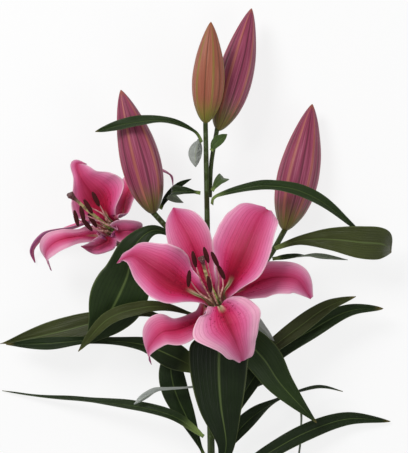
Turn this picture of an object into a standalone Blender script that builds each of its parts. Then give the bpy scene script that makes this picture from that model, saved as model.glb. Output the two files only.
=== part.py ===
"""A cut pink lily lying on its back: stem, five flower stalks, four buds, two open flowers
and leaves.

Units are metres, +Z up. The plant is laid out in millimetres in its own frame first:
+X across the stem, +Y along the stem towards the buds, +Z up from the surface it lies on.
An empty then carries it so that the origin is the bottom centre of the whole plant.
"""
import math

import bmesh
import bpy
from mathutils import Matrix, Vector

MM = 0.001

# Sizes shared by many pieces, in millimetres.
LEAF_THICKNESS = 0.8
TEPAL_THICKNESS = 1.0
FILAMENT_RADIUS = 0.8
ANTHER_SIZE = (13.0, 3.6, 2.6)
BUD_RIB_HEIGHT = 0.05
RING_RADIUS = {"inner": (5.6, 9.0), "outer": (8.0, 11.5)}
RING_CUP = {"inner": 0.28, "outer": 0.2}
TUBE_WIDTH = (2.6, 3)
STAMEN_RING = (4.2, 4.6)
ROOT_HALF_WIDTH = 1.8
STYLE_RADIUS = 1.5
OVARY_SWELL = 1.2
STIGMA_SWELL = 2.4

# How finely the curved pieces are divided.
LEAF_GRID = (12, 2)
TEPAL_GRID = (12, 4)
BUD_GRID = (14, 12)
ANTHER_GRID = (8, 6)
DENSE_STEPS = 12

# The stem lies from its cut end to the first bud, rising off the surface as it goes.
STEM = {"cut": (10, -180, 5), "top": (1.5, 312, 61), "radii": (4.6, 2.3), "rise": 1.8, "taper": 1.3}

# Flower stalks. "leaves_stem" is the place along the stem, then how far beside and above its
# middle line the stalk starts; "route" is where it goes on to, "radii" its two ends.
PEDICELS = {
    "pedicel_bud_top_right": {
        "leaves_stem": (243, 3, -4), "route": [(7, 275, 54), (12, 305, 49)], "radii": (1.9, 2.4)},
    "pedicel_bud_left": {
        "leaves_stem": (176, -6, -1), "route": [(-15, 196, 53), (-32, 211, 51), (-46, 226, 48)],
        "radii": (2.3, 2.8)},
    "pedicel_bud_right": {
        "leaves_stem": (155, 5, 0), "route": [(40, 165, 46), (61, 184, 34), (77, 210, 22)],
        "radii": (2.4, 2.8)},
    "pedicel_front_flower": {
        "leaves_stem": (124, 0, 6.5), "route": [(12, 124, 60), (18, 124, 62), (21, 127, 66)],
        "radii": (2.4, 3.2)},
    "pedicel_left_flower": {
        "leaves_stem": (144, -8, -2),
        "route": [(-23, 160, 44), (-43, 176, 34), (-60, 191, 23), (-69, 199, 22)],
        "radii": (2.3, 3)},
}

BUDS = {
    "bud_top_left": {"base": (1.5, 313, 61.5), "tip": (6.5, 408, 79), "radius": 15},
    "bud_top_right": {"base": (13.5, 306.5, 49), "tip": (46, 426, 25), "radius": 17},
    "bud_left": {"base": (-48, 227, 48), "tip": (-79, 345, 62), "radius": 18.5},
    "bud_right": {"base": (78, 211, 21), "tip": (105, 334, 17), "radius": 19.5},
}

# Leaves. The midrib starts at "leaves_stem" or at "root" and passes the places of "route". The
# outline comes from "half_width", "widest" (part of the length) and "taper", or from half widths
# at each place. "roll" turns the blade about its midrib and "fold" is the depth of its keel.
LEAVES = {
    "leaf_top_left": {
        "leaves_stem": (295, -4, 3),
        "route": [(-10, 306, 69), (-35, 315, 76), (-68, 313, 78), (-103, 305, 68)],
        "half_width": 6.5, "widest": 0.62, "roll": (30, 65, 22), "fold": 0.25},
    "leaf_top_pale": {
        "leaves_stem": (298, -6, -5), "route": [(-8, 286, 52), (-8, 272, 50)],
        "half_width": 6.5, "widest": 0.5, "roll": (170, 165), "fold": 0.3},
    "leaf_top_right_small": {
        "leaves_stem": (287, 5, 2), "route": [(12, 295, 63), (22, 303, 60)],
        "half_width": 5, "widest": 0.5, "roll": (-10, -20), "fold": 0.25},
    "leaf_mid_right_small": {
        "leaves_stem": (249, 5, 3), "route": [(13, 257, 63), (19, 262, 50), (19, 260, 30)],
        "half_width": 5.5, "widest": 0.5, "roll": (-10, -10), "fold": 0.2},
    "leaf_mid_left": {
        "leaves_stem": (247, -6, 2), "route": [(-18, 249, 64), (-32, 247, 52), (-20, 238, 41)],
        "half_width": 6.5, "widest": 0.6, "roll": (15, 40, 0), "fold": 0.2},
    "leaf_bract_left": {
        "root": (-42, 232, 36), "route": [(-36, 243, 35), (-24, 255, 34), (-12, 261, 33)],
        "half_width": 3.5, "widest": 0.5, "roll": (10, 25), "fold": 0.2},
    "leaf_right_long": {
        "leaves_stem": (236, 5, 2), "route": [(14, 245, 64), (60, 254, 70), (105, 243, 66), (152, 208, 38)],
        "half_width": 6.5, "widest": 0.5, "roll": (-40, -45, -35, -25), "fold": 0.25},
    "leaf_right_folded": {
        "root": (68, 194, 35),
        "route": [(92, 202, 43), (122, 203, 50), (150, 200, 52), (172, 198, 42), (181, 190, 24)],
        "half_widths": (2, 4.5, 11, 15.5, 14, 0.5), "roll": (0, -15, -8, -5), "fold": 0.12},
    "leaf_right_narrow": {
        "root": (66, 184, 27), "route": [(82, 186, 28), (105, 187, 27), (139, 183, 21)],
        "half_width": 4, "widest": 0.4, "roll": (-15, -70, -140, -140), "fold": 0.25},
    "leaf_left_arching": {
        "leaves_stem": (160, -8, 5),
        "route": [(-22, 198, 66), (-46, 212, 71), (-66, 196, 71), (-74, 165, 65), (-94, 126, 56),
                  (-120, 96, 48)],
        "half_width": 27, "widest": 0.68, "taper": 2, "roll": (20, 25, 10, 0), "fold": 0.15},
    "leaf_left_strip": {
        "leaves_stem": (128, -6, 6),
        "route": [(-35, 139, 71), (-62, 138, 73), (-92, 127, 67), (-120, 96, 53)],
        "half_width": 6.8, "widest": 0.6, "roll": (25, 20, 0), "fold": 0.2},
    "leaf_left_broad": {
        "leaves_stem": (114, -6, -4),
        "route": [(-60, 133, 42), (-105, 123, 35), (-135, 115, 31), (-165, 108, 27), (-197, 102, 24)],
        "half_width": 12.5, "widest": 0.67, "taper": 1.2, "roll": (20, 10, 5), "fold": 0.12},
    "leaf_left_under": {
        "leaves_stem": (76, -6, -3),
        "route": [(-30, 91, 45), (-62, 103, 43), (-110, 106, 43), (-150, 103, 42), (-190, 102, 37)],
        "half_widths": (3, 13.5, 6.5, 3.5, 6.5, 0.5), "roll": (20, 25, 10), "fold": 0.2},
    "leaf_left_long": {
        "leaves_stem": (14, -7, 5),
        "route": [(-30, 34, 43), (-70, 43, 34), (-115, 47, 20), (-160, 50, 7), (-197, 55, 1)],
        "half_width": 5.5, "widest": 0.3, "roll": (25, 35, 60, 45), "fold": 0.3},
    "leaf_curl_pale": {
        "leaves_stem": (63, -6, 2), "route": [(-22, 61, 49), (-46, 58, 48), (-67, 45, 42)],
        "half_width": 4.5, "widest": 0.7, "roll": (120, 110, 155), "fold": 0.35},
    "leaf_low_left_back": {
        "leaves_stem": (-12, -4, -8), "route": [(-12, 22, 33), (-27, 55, 34), (-32, 80, 34), (-27, 101, 32)],
        "half_width": 13, "widest": 0.68, "roll": (10, 5), "fold": 0.15},
    "leaf_centre_front": {
        "leaves_stem": (-25, 4, 7),
        "route": [(21, 5, 50), (16, 45, 57), (14, 80, 60), (15, 104, 61), (16, 115, 60)],
        "half_widths": (2.5, 8, 21, 27.5, 26, 2), "roll": (0, 0), "fold": 0.14},
    "leaf_right_hanging": {
        "leaves_stem": (114, 6, 3), "route": [(36, 108, 57), (56, 90, 57), (74, 64, 52), (108, 27, 40)],
        "half_widths": (2, 14, 17, 12, 0.5), "roll": (-15, -8, 0), "fold": 0.2},
    "leaf_upper_right_back": {
        "leaves_stem": (63, 6, 0), "route": [(46, 86, 47), (84, 114, 44), (118, 138, 40), (146, 148, 36)],
        "half_width": 8.5, "widest": 0.6, "roll": (-15, -20), "fold": 0.25},
    "leaf_upper_right_front": {
        "leaves_stem": (11, 7, -2),
        "route": [(36, 52, 38), (64, 90, 36), (104, 116, 34), (140, 134, 31), (173, 136, 27)],
        "half_width": 10, "widest": 0.5, "taper": 0.6, "roll": (-15, -20), "fold": 0.3},
    "leaf_low_right_thin": {
        "leaves_stem": (-7, 7, -5), "route": [(40, 26, 31), (71, 48, 29), (108, 60, 28), (134, 56, 25)],
        "half_widths": (1.5, 8.5, 3.5, 3, 0.5), "roll": (-15, -30, -70, -60), "fold": 0.25},
    "leaf_low_right_broad": {
        "leaves_stem": (-35, 7, -6), "route": [(60, -5, 23), (100, 16, 16), (140, 28, 8), (182, 25, 2)],
        "half_width": 8.5, "widest": 0.5, "taper": 0.7, "roll": (-15, -18, -10), "fold": 0.22},
    "leaf_small_pale": {
        "leaves_stem": (136, 5, 0), "route": [(42, 130, 50), (56, 117, 48), (67, 106, 48)],
        "half_width": 5, "widest": 0.6, "roll": (-165, -160), "fold": 0.25},
    "leaf_right_edge_on": {
        "leaves_stem": (38, 6, -9), "route": [(60, 66, 21), (90, 48, 14), (94, 10, 9), (88, -32, 6)],
        "half_width": 4.5, "widest": 0.5, "roll": (-20, -50, -80), "fold": 0.2},
}

# Flowers. "hub" is the end of the stalk and "throat" the middle of the flower's tube. Each tepal
# is on the inner or the outer ring, with the places that its midrib passes beyond the throat and
# its half widths there, left and right of the way it grows. A stamen has the middle and the
# direction of its anther. The pistil's route ends at the stigma.
FLOWERS = {
    "front_flower": {
        "hub": (21, 128, 68), "throat": (11, 147, 90), "stamen_turn": -135,
        "tepals": {
            "petal_right": {
                "ring": "inner", "roll": (0, 25, 30, 30),
                "route": [(24, 163, 100), (34, 184, 108), (43, 205, 107), (52, 224, 100), (60, 231, 88)],
                "left": (14, 29, 30, 25, 5), "right": (12, 25, 23, 19, 4)},
            "petal_left": {
                "ring": "inner", "roll": (0, 0, -30, -20),
                "route": [(-9, 153, 100), (-29, 163, 105), (-49, 177, 105), (-66, 188, 98), (-82, 181, 80)],
                "left": (5, 25, 20, 10, 0.5), "right": (15, 29, 26, 13, 0.5)},
            "petal_low": {
                "ring": "inner", "roll": (0, 0),
                "route": [(17, 137, 102), (23, 124, 110), (29, 110, 109), (34, 96, 99), (36, 89, 86)],
                "left": (24, 31, 22, 14, 3), "right": (22, 35, 20, 11, 3)},
            "sepal_top": {
                "ring": "outer", "roll": (0, 0),
                "route": [(1, 168, 86), (-7, 188, 90), (-15, 206, 89), (-24, 222, 84), (-29, 233, 75)],
                "left": (9, 15, 20, 14, 0.5), "right": (9, 17, 21, 15, 0.5)},
            "sepal_right": {
                "ring": "outer", "roll": (0, 25, 30, 30),
                "route": [(33, 155, 88), (52, 164, 87), (70, 168, 88), (88, 165, 86), (101, 147, 73)],
                "left": (10, 16, 15, 13, 3), "right": (10, 17, 16, 15, 0.5)},
            "sepal_low": {
                "ring": "outer", "roll": (0, -5, -30, 0),
                "route": [(-3, 128, 81), (-23, 120, 89), (-40, 116, 93), (-52, 101, 86), (-50, 85, 74)],
                "left": (10, 20, 15, 8, 0.5), "right": (3, 12, 18, 11, 0.5)},
        },
        "stamens": [
            ((5, 162, 128), (3, -16, -1)), ((16, 173, 120), (5, -10, -3)), ((10, 185, 126), (6, -13, -3)),
            ((2, 189, 131), (3, -10, -2)), ((-9, 185, 126), (2, -10, -2)), ((-14, 167, 118), (-1, -14, -2))],
        "pistil": [(20, 130, 70), (12, 147, 91), (4, 165, 111), (-2, 186, 133)],
    },
    "left_flower": {
        "hub": (-70.5, 200, 24), "throat": (-90, 213.5, 46), "stamen_turn": -140,
        "tepals": {
            "petal_top": {
                "ring": "inner", "roll": (0, 30, 35, 30),
                "route": [(-94, 227, 46), (-102, 239, 49), (-110, 250, 54), (-117, 262, 57),
                          (-121, 275, 52), (-112, 275, 46)],
                "left": (11, 26, 22, 8, 6, 0.5), "right": (7, 30, 28, 15, 5, 0.5)},
            "petal_right": {
                "ring": "inner", "roll": (0, 0),
                "route": [(-82, 209, 56), (-75, 211, 62), (-66, 211, 63), (-61, 209, 56)],
                "left": (11, 15, 12, 0.5), "right": (9, 13, 11, 0.5)},
            "petal_low": {
                "ring": "inner", "roll": (0, 0),
                "route": [(-92, 202, 55), (-100, 197, 52), (-108, 195, 46), (-118, 196, 38)],
                "left": (7, 9, 6, 0.5), "right": (7, 9, 6, 0.5)},
            "sepal_low_left": {
                "ring": "outer", "roll": (0, -30, -35, -20),
                "route": [(-105, 207, 47), (-118, 206, 58), (-132, 204, 65), (-145, 198, 62),
                          (-151, 188, 53), (-147, 173, 35)],
                "left": (4, 7, 11, 13, 9, 0.5), "right": (4, 7, 10, 12, 9, 0.5)},
            "sepal_left": {
                "ring": "inner", "roll": (0, 20, 40, 50),
                "route": [(-107, 220, 38), (-125, 215, 35), (-142, 211, 28), (-157, 204, 19), (-167, 192, 7),
                          (-165, 180, 2)],
                "left": (5, 9, 9, 5, 3, 0.5), "right": (6, 9, 8, 5, 3, 0.5)},
            "sepal_back": {
                "ring": "outer", "roll": (0, 0),
                "route": [(-79, 226, 32), (-76, 243, 27), (-66, 258, 21), (-48, 270, 11), (-33, 266, 4),
                          (-30, 255, 1)],
                "left": (5, 12, 15, 9, 6, 0.5), "right": (6, 14, 15, 9, 6, 0.5)},
        },
        "stamens": [
            ((-110, 217, 81), (10, -12, -4)), ((-114, 227, 90), (4, -17, -2)),
            ((-109, 234, 80), (12, -20, -4)), ((-102, 241, 76), (9, -19, -4)),
            ((-106, 221, 60), (8, -13, -4)), ((-120, 223, 85), (4, -17, -2))],
        "pistil": [(-72, 201, 26), (-90, 214, 47), (-108, 229, 67), (-126, 245, 87)],
    },
}

# Colour, roughness and metallic value of each material.
MATERIALS = {
    "stem_green": ((0.07, 0.13, 0.04), 0.5, 0.0),
    "leaf_green": ((0.03, 0.09, 0.02), 0.42, 0.0),
    "petal_pink": ((0.72, 0.12, 0.28), 0.55, 0.0),
    "bud_mauve": ((0.42, 0.1, 0.17), 0.5, 0.0),
    "anther_brown": ((0.06, 0.012, 0.012), 0.8, 0.0),
    "pistil_green": ((0.35, 0.4, 0.1), 0.45, 0.0),
}


def clear_scene():
    for old in list(bpy.data.objects):
        bpy.data.objects.remove(old, do_unlink=True)


def new_collection(name):
    collection = bpy.data.collections.new(name)
    bpy.context.scene.collection.children.link(collection)
    return collection


def make_material(name):
    colour, roughness, metallic = MATERIALS[name]
    material = bpy.data.materials.new(name)
    material.use_nodes = True
    shader = material.node_tree.nodes["Principled BSDF"]
    shader.inputs["Base Color"].default_value = (*colour, 1.0)
    shader.inputs["Roughness"].default_value = roughness
    shader.inputs["Metallic"].default_value = metallic
    return material


def smooth_value(rows, place):
    """Catmull-Rom value at a place given in rows, through a list of equal tuples."""
    last = len(rows) - 1
    span = min(int(place), last - 1)
    part = place - span
    before = rows[max(span - 1, 0)]
    start, end = rows[span], rows[span + 1]
    after = rows[min(span + 2, last)]
    values = []
    for a, b, c, d in zip(before, start, end, after):
        values.append(0.5 * (2 * b + (c - a) * part
                             + (2 * a - 5 * b + 4 * c - d) * part ** 2
                             + (3 * b - a - 3 * c + d) * part ** 3))
    return values


def smooth_rows(rows, count):
    """A list of count + 1 values evenly spread from the first row to the last."""
    return [smooth_value(rows, (len(rows) - 1) * step / count) for step in range(count + 1)]


def stem_point(height):
    """The stem's middle line and radius at a place along it."""
    cut, top = STEM["cut"], STEM["top"]
    left = 1 - (height - cut[1]) / (top[1] - cut[1])
    low, high = STEM["radii"]
    return (top[0] + (cut[0] - top[0]) * left, height, top[2] - (top[2] - cut[2]) * left ** STEM["rise"],
            high + (low - high) * left ** STEM["taper"])


def full_route(plan):
    """A stalk's or leaf's places, from where it leaves the stem or from its own root."""
    if "root" in plan:
        return [plan["root"]] + plan["route"]
    height, beside, above = plan["leaves_stem"]
    x, y, z, _ = stem_point(height)
    return [(x + beside, y, z + above)] + plan["route"]


def leaf_outline(along, widest, taper):
    """Half width of a leaf as a part of its greatest, from root at 0 to tip at 1."""
    return math.sin(math.pi * min(max(along, 0.0), 1.0) ** (math.log(0.5) / math.log(widest))) ** taper


def blade_frames(plan, places, widths, first_side):
    """Point, left and right half widths, side and normal at close steps along a midrib.

    The frame is carried along without twist, then rolled by the plan's own angles.
    """
    rows = [(*place, *width) for place, width in zip(places, widths or [()] * len(places))]
    steps = (len(rows) - 1) * DENSE_STEPS
    values = smooth_rows(rows, steps)
    points = [Vector(value[:3]) for value in values]
    lengths = [0.0]
    for start, end in zip(points, points[1:]):
        lengths.append(lengths[-1] + (end - start).length)
    frames = []
    side = first_side
    for index, value in enumerate(values):
        along = lengths[index] / lengths[-1]
        tangent = (points[min(index + 1, steps)] - points[max(index - 1, 0)]).normalized()
        side = (side - side.dot(tangent) * tangent).normalized()
        roll = smooth_value([(angle,) for angle in plan["roll"]], along * (len(plan["roll"]) - 1))[0]
        rolled = Matrix.Rotation(math.radians(roll), 3, tangent) @ side
        if widths:
            left, right = value[3:]
        else:
            wide = plan["half_width"] * leaf_outline(along, plan["widest"], plan.get("taper", 0.8))
            left = right = max(wide, ROOT_HALF_WIDTH * (1 - along))
        frames.append((points[index], max(left, 0.3), max(right, 0.3), rolled, tangent.cross(rolled)))
    return frames


def make_blade(name, frames, grid, cup, bend, thickness):
    """A thin leaf or tepal: a grid laid along the frames, then given its thickness."""
    mesh = bpy.data.meshes.new(name)
    cage = bmesh.new()
    bmesh.ops.create_grid(cage, x_segments=grid[0], y_segments=grid[1], size=0.5)
    for vertex in cage.verts:
        along = vertex.co.x + 0.5
        across = vertex.co.y * 2
        point, left, right, side, normal = frames[round(along * (len(frames) - 1))]
        half_width = left if across > 0 else right
        lift = cup * half_width * abs(across) ** bend
        vertex.co = (point + side * (across * half_width) + normal * lift) * MM
    cage.to_mesh(mesh)
    cage.free()
    blade = add_object(name, mesh)
    shell = blade.modifiers.new("thickness", "SOLIDIFY")
    shell.thickness = thickness * MM
    shell.offset = 0.0
    return blade


def add_object(name, data):
    thing = bpy.data.objects.new(name, data)
    plant.objects.link(thing)
    thing.parent = carrier
    return thing


def finish(thing, material):
    thing.data.materials.clear()
    thing.data.materials.append(material)
    if thing.type == "MESH":
        thing.data.shade_smooth()


def make_tube(name, route, count):
    """A tapering round stalk through rows of x, y, z and radius."""
    curve = bpy.data.curves.new(name, "CURVE")
    curve.dimensions = "3D"
    curve.bevel_depth = MM
    curve.bevel_resolution = 2
    curve.use_fill_caps = True
    spline = curve.splines.new("POLY")
    spline.points.add(count)
    for point, (x, y, z, radius) in zip(spline.points, smooth_rows(route, count)):
        point.co = (x * MM, y * MM, z * MM, 1.0)
        point.radius = radius
    return add_object(name, curve)


def make_stem(rows=24):
    low, high = STEM["cut"][1], STEM["top"][1]
    route = [stem_point(low + (high - low) * row / rows) for row in range(rows + 1)]
    finish(make_tube("stem", route, rows), materials["stem_green"])


def make_pedicel(name, plan):
    places = full_route(plan)
    start, end = plan["radii"]
    last = len(places) - 1
    route = [(*place, start + (end - start) * index / last) for index, place in enumerate(places)]
    finish(make_tube(name, route, 9), materials["stem_green"])


def pistil_radius(along):
    """The ovary swells the foot of the style and the stigma its end."""
    ovary = OVARY_SWELL * math.exp(-((along - 0.12) / 0.16) ** 2)
    stigma = STIGMA_SWELL * math.exp(-((along - 0.98) / 0.04) ** 2)
    return STYLE_RADIUS + ovary + stigma


def make_pistil(name, places, rows=16):
    route = []
    for row in range(rows + 1):
        point = smooth_value(places, (len(places) - 1) * row / rows)
        route.append((*point, pistil_radius(row / rows)))
    finish(make_tube(name, route, rows), materials["pistil_green"])


def tube_as_mesh(tube):
    """The same tube as a closed mesh, so that another shape can be joined to it."""
    shape = tube.evaluated_get(bpy.context.evaluated_depsgraph_get())
    mesh = bpy.data.meshes.new_from_object(shape)
    weld = bmesh.new()
    weld.from_mesh(mesh)
    bmesh.ops.remove_doubles(weld, verts=weld.verts, dist=0.00001)
    bmesh.ops.recalc_face_normals(weld, faces=weld.faces)
    weld.to_mesh(mesh)
    weld.free()
    name = tube.name
    curve = tube.data
    bpy.data.objects.remove(tube)
    bpy.data.curves.remove(curve)
    return add_object(name, mesh)


def bud_radius(along):
    """Outline of a bud from its base at 0 to its tip at 1, as a part of its greatest radius."""
    return math.sin(math.pi * along ** 0.78) ** 0.75 if 0 < along < 1 else 0.0


def make_bud(name, base, tip, radius):
    mesh = bpy.data.meshes.new(name)
    ball = bmesh.new()
    bmesh.ops.create_uvsphere(ball, u_segments=BUD_GRID[0], v_segments=BUD_GRID[1], radius=1.0)
    axis = Vector(tip) - Vector(base)
    turn = axis.to_track_quat("Z", "Y")
    for vertex in ball.verts:
        along = (vertex.co.z + 1) / 2
        angle = math.atan2(vertex.co.y, vertex.co.x)
        wide = radius * bud_radius(min(max(along, 0.0), 1.0))
        wide *= 1 + BUD_RIB_HEIGHT * math.cos(3 * angle)
        local = Vector((wide * math.cos(angle), wide * math.sin(angle), along * axis.length))
        vertex.co = (Vector(base) + turn @ local) * MM
    ball.to_mesh(mesh)
    ball.free()
    return add_object(name, mesh)


def make_anther(name, middle, direction):
    """A long oval pollen sac, kept apart as the shape that joins its filament."""
    mesh = bpy.data.meshes.new(name)
    ball = bmesh.new()
    bmesh.ops.create_uvsphere(ball, u_segments=ANTHER_GRID[0], v_segments=ANTHER_GRID[1],
                              radius=0.5)
    turn = Vector(direction).to_track_quat("Z", "Y")
    length, width, depth = ANTHER_SIZE
    for vertex in ball.verts:
        local = Vector((vertex.co.x * width, vertex.co.y * depth, vertex.co.z * length))
        vertex.co = (Vector(middle) + turn @ local) * MM
    ball.to_mesh(mesh)
    ball.free()
    anther = bpy.data.objects.new(name, mesh)
    joiners.objects.link(anther)
    anther.parent = carrier
    anther.hide_render = True
    anther.display_type = "WIRE"
    return anther


def make_stamen(name, hub, throat, middle, direction, out):
    """A filament from its place around the ovary to the middle of its anther, joined to it."""
    low, high = STAMEN_RING
    points = (hub.lerp(throat, 0.12) + out * low, throat + out * high,
              throat.lerp(Vector(middle), 0.5) + out * high, middle)
    route = [(*point, FILAMENT_RADIUS) for point in points]
    stamen = tube_as_mesh(make_tube(name, route, 7))
    union = stamen.modifiers.new("anther", "BOOLEAN")
    union.operation = "UNION"
    union.object = make_anther(name + "_anther_shape", middle, direction)
    return stamen


def ring_direction(axis, degrees):
    """A direction across a flower's axis, turned anticlockwise as seen from its front."""
    across = Vector((1, 0, 0))
    across = (across - across.dot(axis) * axis).normalized()
    return Matrix.Rotation(math.radians(degrees), 3, axis) @ across


def tube_places(hub, throat, axis, ring, target):
    """A tepal's two lowest places, on the wall of the flower's narrow tube."""
    out = target - throat
    out = (out - out.dot(axis) * axis).normalized()
    places = [tuple(centre + out * radius) for centre, radius in zip((hub, throat), RING_RADIUS[ring])]
    return places, axis.cross(out)


def make_tepal(name, plan, hub, throat, axis):
    ring = plan["ring"]
    tube, first_side = tube_places(hub, throat, axis, ring, Vector(plan["route"][1]))
    widths = [(width, width) for width in TUBE_WIDTH] + list(zip(plan["left"], plan["right"]))
    frames = blade_frames(plan, tube + plan["route"], widths, first_side)
    blade = make_blade(name, frames, TEPAL_GRID, RING_CUP[ring], 2, TEPAL_THICKNESS)
    finish(blade, materials["petal_pink"])


def make_flower(flower, plan):
    hub, throat = Vector(plan["hub"]), Vector(plan["throat"])
    axis = (throat - hub).normalized()
    for part, tepal in plan["tepals"].items():
        make_tepal(flower + "_" + part, tepal, hub, throat, axis)
    for number, (middle, direction) in enumerate(plan["stamens"], start=1):
        out = ring_direction(axis, plan["stamen_turn"] + number * 60)
        stamen = make_stamen(f"{flower}_stamen_{number}", hub, throat, middle, direction, out)
        finish(stamen, materials["anther_brown"])
    make_pistil(flower + "_pistil", plan["pistil"])


def make_leaf(name, plan):
    places = full_route(plan)
    first_side = Vector((0, 0, 1)).cross(Vector(places[1]) - Vector(places[0])).normalized()
    widths = [(width, width) for width in plan["half_widths"]] if "half_widths" in plan else None
    frames = blade_frames(plan, places, widths, first_side)
    finish(make_blade(name, frames, LEAF_GRID, plan["fold"], 1, LEAF_THICKNESS), materials["leaf_green"])


def rest_on_ground():
    """Move the carrier so that the plant's bottom centre is the world's origin."""
    bpy.context.view_layer.update()
    depsgraph = bpy.context.evaluated_depsgraph_get()
    corners = []
    for thing in plant.objects:
        if thing.type == "EMPTY":
            continue
        shape = thing.evaluated_get(depsgraph)
        mesh = shape.to_mesh()
        corners += [thing.matrix_world @ vertex.co for vertex in mesh.vertices]
        shape.to_mesh_clear()
    low = [min(corner[axis] for corner in corners) for axis in range(3)]
    high = [max(corner[axis] for corner in corners) for axis in range(3)]
    carrier.location = (-(low[0] + high[0]) / 2, -(low[1] + high[1]) / 2, -low[2])
    bpy.context.view_layer.update()


clear_scene()
plant = new_collection("cut_lily")
joiners = new_collection("joining_shapes")
carrier = bpy.data.objects.new("plant_carrier", None)
plant.objects.link(carrier)
materials = {name: make_material(name) for name in MATERIALS}

make_stem()
for pedicel, plan in PEDICELS.items():
    make_pedicel(pedicel, plan)
for bud, plan in BUDS.items():
    finish(make_bud(bud, plan["base"], plan["tip"], plan["radius"]), materials["bud_mauve"])
for flower, plan in FLOWERS.items():
    make_flower(flower, plan)
for leaf, plan in LEAVES.items():
    make_leaf(leaf, plan)
rest_on_ground()
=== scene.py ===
# A cut pink lily lying on its back on a pale table, seen from straight above.
import bpy
import bmesh
import math
from mathutils import Matrix, Vector, noise


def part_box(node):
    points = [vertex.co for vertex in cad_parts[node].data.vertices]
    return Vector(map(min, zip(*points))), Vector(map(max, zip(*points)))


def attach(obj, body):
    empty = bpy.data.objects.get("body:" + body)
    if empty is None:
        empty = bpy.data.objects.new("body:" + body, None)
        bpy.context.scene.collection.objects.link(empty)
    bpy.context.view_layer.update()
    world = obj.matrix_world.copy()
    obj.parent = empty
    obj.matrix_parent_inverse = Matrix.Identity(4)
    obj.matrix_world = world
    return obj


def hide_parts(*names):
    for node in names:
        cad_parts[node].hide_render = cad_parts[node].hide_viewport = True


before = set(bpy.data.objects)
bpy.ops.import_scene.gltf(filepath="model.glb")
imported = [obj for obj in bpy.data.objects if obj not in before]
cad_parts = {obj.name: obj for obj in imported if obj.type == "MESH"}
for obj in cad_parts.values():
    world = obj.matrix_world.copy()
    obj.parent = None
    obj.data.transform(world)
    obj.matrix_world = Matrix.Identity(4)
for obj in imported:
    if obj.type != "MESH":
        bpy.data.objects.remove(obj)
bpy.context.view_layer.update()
scene = bpy.context.scene
mm = 0.001
denseSteps = 16  # rows in each stretch between two places of a blade
rootHalf = 1.8  # half width that a leaf keeps at its root
thinHalf = 0.25  # no blade is narrower than this
leafTaper = 0.8
curlStart = 0.62  # how far from the midrib a tepal's rim starts to roll back


def smoothRow(rows, place):
    last = len(rows) - 1
    span = min(int(place), last - 1)
    part = place - span
    before, after = rows[max(span - 1, 0)], rows[min(span + 2, last)]
    return [0.5 * (2 * b + (c - a) * part + (2 * a - 5 * b + 4 * c - d) * part ** 2
                   + (3 * b - a - 3 * c + d) * part ** 3)
            for a, b, c, d in zip(before, rows[span], rows[span + 1], after)]


def smoothRows(rows, count):
    return [smoothRow(rows, (len(rows) - 1) * step / count) for step in range(count + 1)]


def easeIn(value, low, high):
    part = min(max((value - low) / (high - low), 0.0), 1.0)
    return part * part * (3 - 2 * part)


def leafOutline(along, widest, taper):
    return math.sin(math.pi * min(max(along, 0.0), 1.0) ** (math.log(0.5) / math.log(widest))) ** taper


def blendFrame(first, second, part):
    widths = [low + (high - low) * part for low, high in zip(first[1], second[1])]
    return (first[0].lerp(second[0], part), widths, first[2].lerp(second[2], part).normalized(),
            first[3].lerp(second[3], part).normalized())


def bladeFrames(plan, places, widths, firstSide):
    # middle line carried along without twist, rolled by the plan's own angles, then spaced evenly
    rows = [(*place, *width) for place, width in zip(places, widths or [()] * len(places))]
    steps = (len(rows) - 1) * denseSteps
    values = smoothRows(rows, steps)
    points = [Vector(value[:3]) for value in values]
    lengths = [0.0]
    for start, end in zip(points, points[1:]):
        lengths.append(lengths[-1] + (end - start).length)
    rolls = [(angle,) for angle in plan["roll"]]
    side = firstSide
    frames = []
    for index, value in enumerate(values):
        along = lengths[index] / lengths[-1]
        tangent = (points[min(index + 1, steps)] - points[max(index - 1, 0)]).normalized()
        side = (side - side.dot(tangent) * tangent).normalized()
        roll = smoothRow(rolls, along * (len(rolls) - 1))[0]
        rolled = Matrix.Rotation(math.radians(roll), 3, tangent) @ side
        if widths:
            pair = value[3:]
        else:
            wide = plan["halfWidth"] * leafOutline(along, plan["widest"], plan.get("taper", leafTaper))
            pair = (max(wide, rootHalf * (1 - along)),) * 2
        halves = [max(half, thinHalf) for half in pair]
        frames.append((points[index], halves, rolled, tangent.cross(rolled)))
    even = []
    index = 0
    for step in range(steps + 1):
        want = lengths[-1] * step / steps
        while index < steps - 1 and lengths[index + 1] < want:
            index += 1
        gap = max(lengths[index + 1] - lengths[index], 1e-9)
        even.append(blendFrame(frames[index], frames[index + 1], min((want - lengths[index]) / gap, 1.0)))
    return even


def frameAt(frames, along):
    place = along * (len(frames) - 1)
    low = min(int(place), len(frames) - 2)
    return blendFrame(frames[low], frames[low + 1], place - low)


def settle(node, shape, skin):
    # writes the mesh into a finished piece that stands for its CAD node
    mesh = bpy.data.meshes.new(node)
    bmesh.ops.recalc_face_normals(shape, faces=shape.faces)
    for face in shape.faces:
        face.smooth = True
    shape.to_mesh(mesh)
    shape.free()
    mesh.materials.append(skin)
    piece = bpy.data.objects.new(node, mesh)
    scene.collection.objects.link(piece)
    piece.data.transform(Matrix.Translation(plantShift))
    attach(piece, "root")
    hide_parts(node)


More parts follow.
